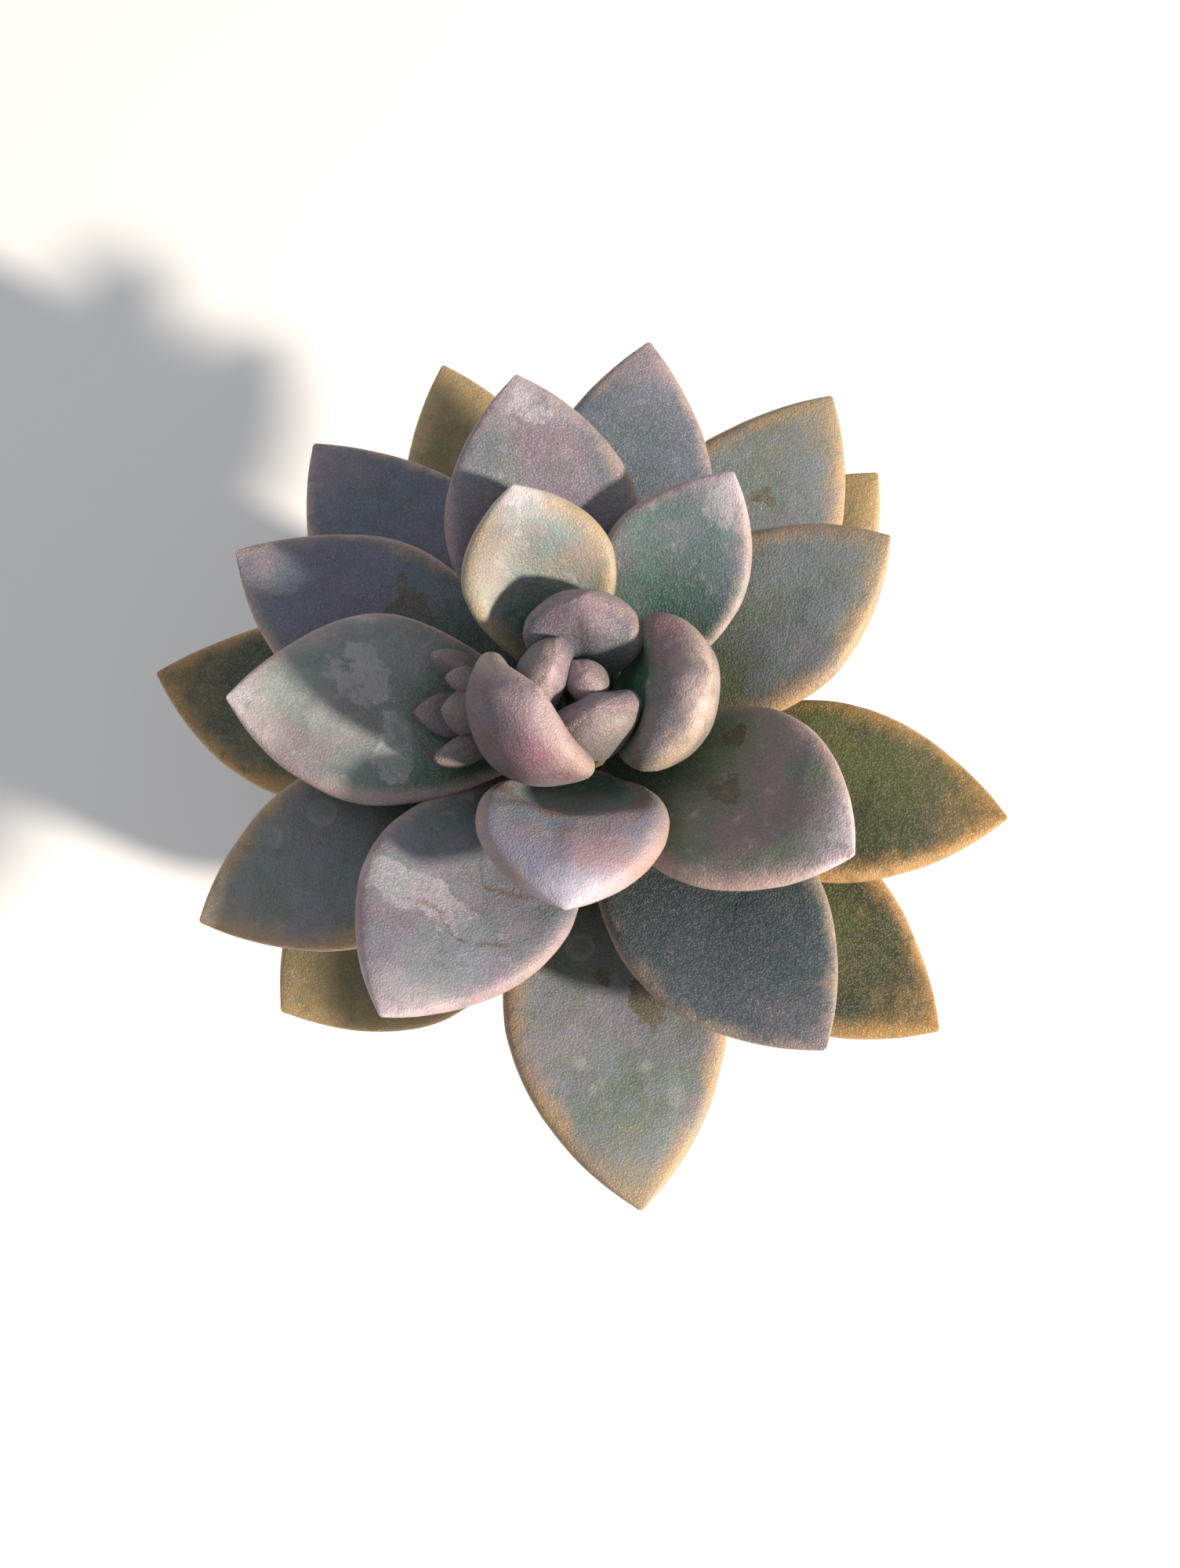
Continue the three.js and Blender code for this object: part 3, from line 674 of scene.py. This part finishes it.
def growStem(node):
    # Takes the rings as they come, without lining them up with each other.
    ends, rings = ringsOf(node, stemGrid[node]["sides"])
    fine = smoothRings(ends, rings, stemGrid[node]["alongSteps"], barkLook["aroundSteps"])
    normals = gridNormals(ends, fine)
    lift = barkLook["ridge"] * clouds(fine, barkLook["ridgeSize"], 5)
    fine = fine + normals * lift[..., None]
    points = np.concatenate([fine.reshape(-1, 3), ends])
    piece = makePiece("bark_" + node, points, closedFaces(*fine.shape[:2]))
    faceOut(piece)
    fitIn(piece, barkSkin("bark_" + node), slotOf[node], node)


for stemNode in stemGrid:
    growStem(stemNode)
print("stems grown")

potLook = {
    "columns": 180,
    "longest": 0.9 * mm,  # between points on a straight stretch of the profile
    "arcStretch": 2 * mm,  # a shorter stretch belongs to a worn arc
    "arcSteps": 4,
    "wobble": 0.12 * mm,  # a hand-finished pot is never quite round
    "wobbleSize": 30 * mm,
    "throwLine": 0.05 * mm,
    "throwPitch": 1.7 * mm,
    "dampHeight": 12 * mm,
    "saltHeights": (12 * mm, 45 * mm),  # where the salt begins and where it is full
    "cloudGrain": 60, "mottleGrain": 260, "pitGrain": 900, "gritGrain": 2600,  # larger is finer
    "clay": "99604a", "pale": "a97960", "dark": "7b4a36", "salt": "bfac9b", "damp": "663e2b",
    "grog": "d79f7c",
}


def potProfile():
    # The section of the turned pot, as (radius, height) points in order round it.
    form = mergedCopy("pot")
    start = max(form.verts, key=lambda v: (round(v.co.z, 6), -abs(math.atan2(v.co.y, v.co.x))))
    heading = math.atan2(start.co.y, start.co.x)
    inPlane = {v for v in form.verts if abs(math.atan2(v.co.y, v.co.x) - heading) < 1e-3}
    walk = [start]
    while len(walk) < len(inPlane):
        near = [e.other_vert(walk[-1]) for e in walk[-1].link_edges]
        onward = [v for v in near if v in inPlane and v not in walk]
        if not onward:
            break
        walk.append(onward[0])
    section = np.array([[math.hypot(v.co.x, v.co.y), v.co.z] for v in walk])
    form.free()
    return section


def finerProfile(section):
    # Corners stay where they are; the worn arcs become smooth, and straight stretches get even points.
    count = len(section)
    fine = []
    for i in range(count):
        before, start, end, after = (section[(i + k) % count] for k in (-1, 0, 1, 2))
        length = np.linalg.norm(end - start)
        straight = length > potLook["arcStretch"]
        pieces = math.ceil(length / potLook["longest"]) if straight else potLook["arcSteps"]
        for k in range(pieces):
            share = k / pieces
            fine.append(start + share * (end - start) if straight
                        else throughPoints(before, start, end, after, share))
    return np.array(fine)


def potSkin():
    look = potLook
    sheet = Sheet("fired_clay")
    where = sheet.place()
    height = sheet.node("ShaderNodeSeparateXYZ", None, [where], "Z")
    cloudy = sheet.cloud(where, look["cloudGrain"], 4, 0.55, 1.0, 0.3)
    mottle = sheet.cloud(where, look["mottleGrain"], 5, 0.6, 2.0)
    grit = sheet.cloud(where, look["gritGrain"], 3, 0.7, 3.0)
    pits = sheet.cells(where, look["pitGrain"]).step(0.16, 0.05)
    colour = sheet.blend(cloudy.step(0.35, 0.7), tint(look["clay"]), tint(look["pale"]))
    colour = sheet.blend(mottle.step(0.5, 0.75) * 0.45, colour, tint(look["dark"]))
    damp = (height + (cloudy - 0.5) * 0.018).step(look["dampHeight"], 0.0) * 0.5
    colour = sheet.blend(damp, colour, tint(look["damp"]))
    salt = (cloudy * 0.6 + mottle * 0.5).step(0.56, 0.72)
    salt = salt * (height + (mottle - 0.5) * 0.02).step(*look["saltHeights"])
    colour = sheet.blend(salt * 0.5, colour, tint(look["salt"]))
    colour = sheet.blend(pits * 0.5, colour, tint(look["dark"]))
    colour = sheet.blend(grit.step(0.6, 0.75) * 0.25, colour, tint(look["grog"]))
    rough = 0.78 + salt * 0.12
    bumpy = sheet.bump(grit - pits * 0.6, 0.06 * mm, sheet.bump(mottle, 0.2 * mm))
    return sheet.finish({"Base Color": colour, "Roughness": rough, "Normal": bumpy})


def throwPot():
    look = potLook
    section = finerProfile(potProfile())
    rows, columns = len(section), look["columns"]
    turn = np.arange(columns) / columns * 2 * np.pi
    radius = section[:, 0][:, None].repeat(columns, 1)
    height = section[:, 1][:, None].repeat(columns, 1)
    points = np.stack([radius * np.cos(turn), radius * np.sin(turn), height], -1)
    inside = (radius < section[:, 0].max() * 0.999).astype(float)
    outer = ramp(height, 1 * mm, 4 * mm)
    lines = np.sin(height / look["throwPitch"] * 2 * np.pi + np.sin(turn) * 0.8)
    push = look["wobble"] * clouds(points, look["wobbleSize"], 9, 2)
    push = outer * (push + look["throwLine"] * lines * (0.5 + 0.5 * inside))
    points[..., 0] += push * np.cos(turn)
    points[..., 1] += push * np.sin(turn)
    faces = [(i * columns + j, i * columns + (j + 1) % columns,
              ((i + 1) % rows) * columns + (j + 1) % columns, ((i + 1) % rows) * columns + j)
             for i in range(rows) for j in range(columns)]
    piece = makePiece("clay_pot", points.reshape(-1, 3), faces)
    faceOut(piece)
    fitIn(piece, potSkin(), slotOf["pot"], "pot")


throwPot()
print("pot thrown")

soilLook = {
    "rows": 60,
    "columns": 150,
    "lump": 0.9 * mm,
    "lumpSize": 5 * mm,
    "crumb": 0.35 * mm,
    "crumbSize": 1.3 * mm,
    "dry": "5d4938", "wet": "2f231b", "fibre": "80684c",
}

gritLook = {  # loose grains on the soil, density per square metre
    "crumbs": {"density": 900000.0, "size": 0.55 * mm, "seed": 3, "stretch": (1, 1, 0.8),
               "colours": ("2c2019", "594535")},
    "pumice": {"density": 95000.0, "size": 0.95 * mm, "seed": 8, "stretch": (1, 0.85, 0.75),
               "colours": ("b9ad9a", "e2dccf")},
    "bark_chips": {"density": 60000.0, "size": 1.3 * mm, "seed": 12, "stretch": (1.6, 0.8, 0.35),
                   "colours": ("5a3823", "8b6242")},
}


def soilSkin():
    sheet = Sheet("damp_compost")
    where = sheet.place()
    lumps = sheet.cloud(where, 420, 5, 0.65, 1.0)
    fibres = sheet.cloud(where, 1600, 4, 0.7, 2.0, 1.2)
    colour = sheet.blend(lumps.step(0.35, 0.7), tint(soilLook["wet"]), tint(soilLook["dry"]))
    colour = sheet.blend(fibres.step(0.6, 0.75) * 0.5, colour, tint(soilLook["fibre"]))
    return sheet.finish({"Base Color": colour, "Roughness": 0.95,
                         "Normal": sheet.bump(fibres, 0.4 * mm, sheet.bump(lumps, 0.8 * mm))})


def fillSoil():
    look = soilLook
    low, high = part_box("soil")
    form = mergedCopy("soil")
    reach = np.array([[math.hypot(v.co.x, v.co.y), v.co.z] for v in form.verts])
    form.free()
    edge = reach[:, 0].max()
    edgeHeight = reach[reach[:, 0] > edge - 0.1 * mm][:, 1].max()
    bottomEdge = reach[reach[:, 1] < low.z + 0.1 * mm][:, 0].max()
    rows, columns = look["rows"], look["columns"]
    turn = np.arange(columns) / columns * 2 * np.pi
    share = (np.arange(rows) + 1) / rows
    radius = (edge * share)[:, None].repeat(columns, 1)
    top = (edgeHeight + (high.z - edgeHeight) * (1 - share ** 2))[:, None].repeat(columns, 1)
    points = np.stack([radius * np.cos(turn), radius * np.sin(turn), top], -1)
    rough = look["lump"] * clouds(points, look["lumpSize"], 21)
    rough = rough + look["crumb"] * clouds(points, look["crumbSize"], 22)
    points[..., 2] += rough * ramp(share, 1.0, 0.97)[:, None] * 0.6 + rough * 0.4  # calmer at the wall
    foot = np.stack([bottomEdge * np.cos(turn), bottomEdge * np.sin(turn), np.full(columns, low.z)], -1)
    grid = np.concatenate([points, foot[None]])
    ends = np.array([[0, 0, high.z], [0, 0, low.z]])
    piece = makePiece("compost", np.concatenate([grid.reshape(-1, 3), ends]), closedFaces(*grid.shape[:2]),
                      {"surface": np.append((grid[..., 2] > edgeHeight - 1 * mm).ravel(), [1, 0])})
    faceOut(piece)
    fitIn(piece, soilSkin(), slotOf["soil"], "soil")
    return piece


def gritSkin(name, colours):
    sheet = Sheet(name)
    where = sheet.place()
    patches = sheet.cloud(where, 500, 3, 0.6, 4.0)
    pores = sheet.cloud(where, 5000, 3, 0.7, 5.0)
    colour = sheet.blend(patches.step(0.35, 0.65), tint(colours[0]), tint(colours[1]))
    return sheet.finish({"Base Color": colour, "Roughness": 0.92,
                         "Normal": sheet.bump(pores, 0.15 * mm)})


def grainMesh(name, stretch):
    form = bmesh.new()
    bmesh.ops.create_icosphere(form, subdivisions=1, radius=1.0)
    for v in form.verts:
        v.co *= 1 + 0.35 * noise.noise(v.co * 1.7 + Vector((len(name), 0, 0)))
        v.co = Vector((v.co.x * stretch[0], v.co.y * stretch[1], v.co.z * stretch[2]))
    mesh = bpy.data.meshes.new(name)
    form.to_mesh(mesh)
    form.free()
    return bpy.data.objects.new(name, mesh)


def gritTree(name, grain, material):
    tree = bpy.data.node_groups.new(name, "GeometryNodeTree")
    face = tree.interface
    face.new_socket("Geometry", in_out="INPUT", socket_type="NodeSocketGeometry")
    for label in ("Density", "Size"):
        face.new_socket(label, in_out="INPUT", socket_type="NodeSocketFloat")
    face.new_socket("Seed", in_out="INPUT", socket_type="NodeSocketInt")
    face.new_socket("Geometry", in_out="OUTPUT", socket_type="NodeSocketGeometry")

    def add(kind, links=None, **settings):
        node = tree.nodes.new(kind)
        for key, value in settings.items():
            setattr(node, key, value)
        for key, source in (links or {}).items():
            if isinstance(source, bpy.types.NodeSocket):
                tree.links.new(source, node.inputs[key])
            else:
                node.inputs[key].default_value = source
        return node

    given = add("NodeGroupInput")
    surface = add("GeometryNodeInputNamedAttribute", {"Name": "surface"}, data_type="FLOAT")
    scatter = add("GeometryNodeDistributePointsOnFaces",
                  {"Mesh": given.outputs["Geometry"], "Density": given.outputs["Density"],
                   "Seed": given.outputs["Seed"]})
    keep = add("FunctionNodeCompare", {0: surface.outputs["Attribute"], 1: 0.5}, operation="LESS_THAN")
    trimmed = add("GeometryNodeDeleteGeometry",
                  {"Geometry": scatter.outputs["Points"], "Selection": keep.outputs["Result"]})
    shape = add("GeometryNodeObjectInfo", {"Object": grain})
    fullTurn = (6.28, 6.28, 6.28)
    turn = add("FunctionNodeRandomValue", {"Max": fullTurn}, data_type="FLOAT_VECTOR")
    tree.links.new(given.outputs["Seed"], turn.inputs["Seed"])
    spread = add("FunctionNodeRandomValue", {2: 0.45, 3: 1.5}, data_type="FLOAT")
    tree.links.new(given.outputs["Seed"], spread.inputs["Seed"])
    size = add("ShaderNodeMath", {0: spread.outputs[1], 1: given.outputs["Size"]}, operation="MULTIPLY")
    placed = add("GeometryNodeInstanceOnPoints",
                 {"Points": trimmed.outputs["Geometry"], "Instance": shape.outputs["Geometry"],
                  "Rotation": turn.outputs["Value"], "Scale": size.outputs["Value"]})
    real = add("GeometryNodeRealizeInstances", {"Geometry": placed.outputs["Instances"]})
    painted = add("GeometryNodeSetMaterial", {"Geometry": real.outputs["Geometry"], "Material": material})
    end = add("NodeGroupOutput")
    tree.links.new(painted.outputs["Geometry"], end.inputs["Geometry"])
    return tree


def scatterGrit(soil):
    for name, look in gritLook.items():
        grain = grainMesh(name + "_grain", look["stretch"])
        material = gritSkin(name, look["colours"])
        tree = gritTree(name, grain, material)
        modifier = soil.modifiers.new(name, "NODES")
        modifier.node_group = tree
        inputs = {s.name: s.identifier for s in tree.interface.items_tree if s.in_out == "INPUT"}
        modifier[inputs["Density"]] = look["density"]
        modifier[inputs["Size"]] = look["size"]
        modifier[inputs["Seed"]] = look["seed"]
        bpy.context.view_layer.update()
        mesh = bpy.data.meshes.new_from_object(soil.evaluated_get(bpy.context.evaluated_depsgraph_get()))
        soil.modifiers.remove(modifier)
        bpy.data.objects.remove(grain)
        mesh.name = name
        mesh.polygons.foreach_set("use_smooth", [False] * len(mesh.polygons))
        piece = bpy.data.objects.new(name, mesh)
        bpy.context.scene.collection.objects.link(piece)
        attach(piece, "root")
        print(name, len(mesh.polygons))


scatterGrit(fillSoil())
print("soil filled")

studio = {
    "floor": "f4f3f1",
    "floorReach": 3.0,
    "sky": (0.92, 0.95, 1.0),
    "skyStrength": 0.3,
    # name: direction it comes from (azimuth from +X towards +Y, elevation), distance, size, watts, colour
    "lamps": {
        "key": ((-24, 31), 1.0, 0.08, 20.0, (1.0, 0.89, 0.77)),
        "fill": ((150, 50), 1.2, 0.9, 2.2, (0.82, 0.9, 1.0)),
        "top": ((-90, 80), 1.3, 1.2, 1.6, (0.97, 0.98, 1.0)),
    },
}


def lightStudio():
    look, reach = studio, studio["floorReach"]
    corners = [(x * reach, y * reach, lowest.z) for x, y in ((-1, -1), (1, -1), (1, 1), (-1, 1))]
    floor = makePiece("floor", corners, [(0, 1, 2, 3)], smooth=False)
    sheet = Sheet("floor_paper")
    where = sheet.place()
    soft = sheet.cloud(where, 6, 2, 0.5, 1.0)
    colour = sheet.blend(soft.step(0.3, 0.7) * 0.2, tint(look["floor"]), tint("ffffff"))
    floor.data.materials.append(sheet.finish({"Base Color": colour, "Roughness": 0.9}))
    world = bpy.data.worlds.new("studio")
    world.use_nodes = True
    world.node_tree.nodes["Background"].inputs["Color"].default_value = (*look["sky"], 1.0)
    world.node_tree.nodes["Background"].inputs["Strength"].default_value = look["skyStrength"]
    bpy.context.scene.world = world
    aim = Vector((middle.x, middle.y, highest.z * 0.75))
    for name, ((azimuth, elevation), distance, size, watts, colour) in look["lamps"].items():
        data = bpy.data.lights.new(name, "AREA")
        data.shape, data.size, data.energy, data.color = "DISK", size, watts, colour
        lamp = bpy.data.objects.new(name, data)
        bpy.context.scene.collection.objects.link(lamp)
        turn, tilt = math.radians(azimuth), math.radians(elevation)
        away = Vector((math.cos(turn) * math.cos(tilt), math.sin(turn) * math.cos(tilt), math.sin(tilt)))
        lamp.location = aim + away * distance
        lamp.rotation_euler = away.to_track_quat("Z", "Y").to_euler()


lightStudio()
bpy.context.scene.view_settings.view_transform = "Standard"
print("studio lit")
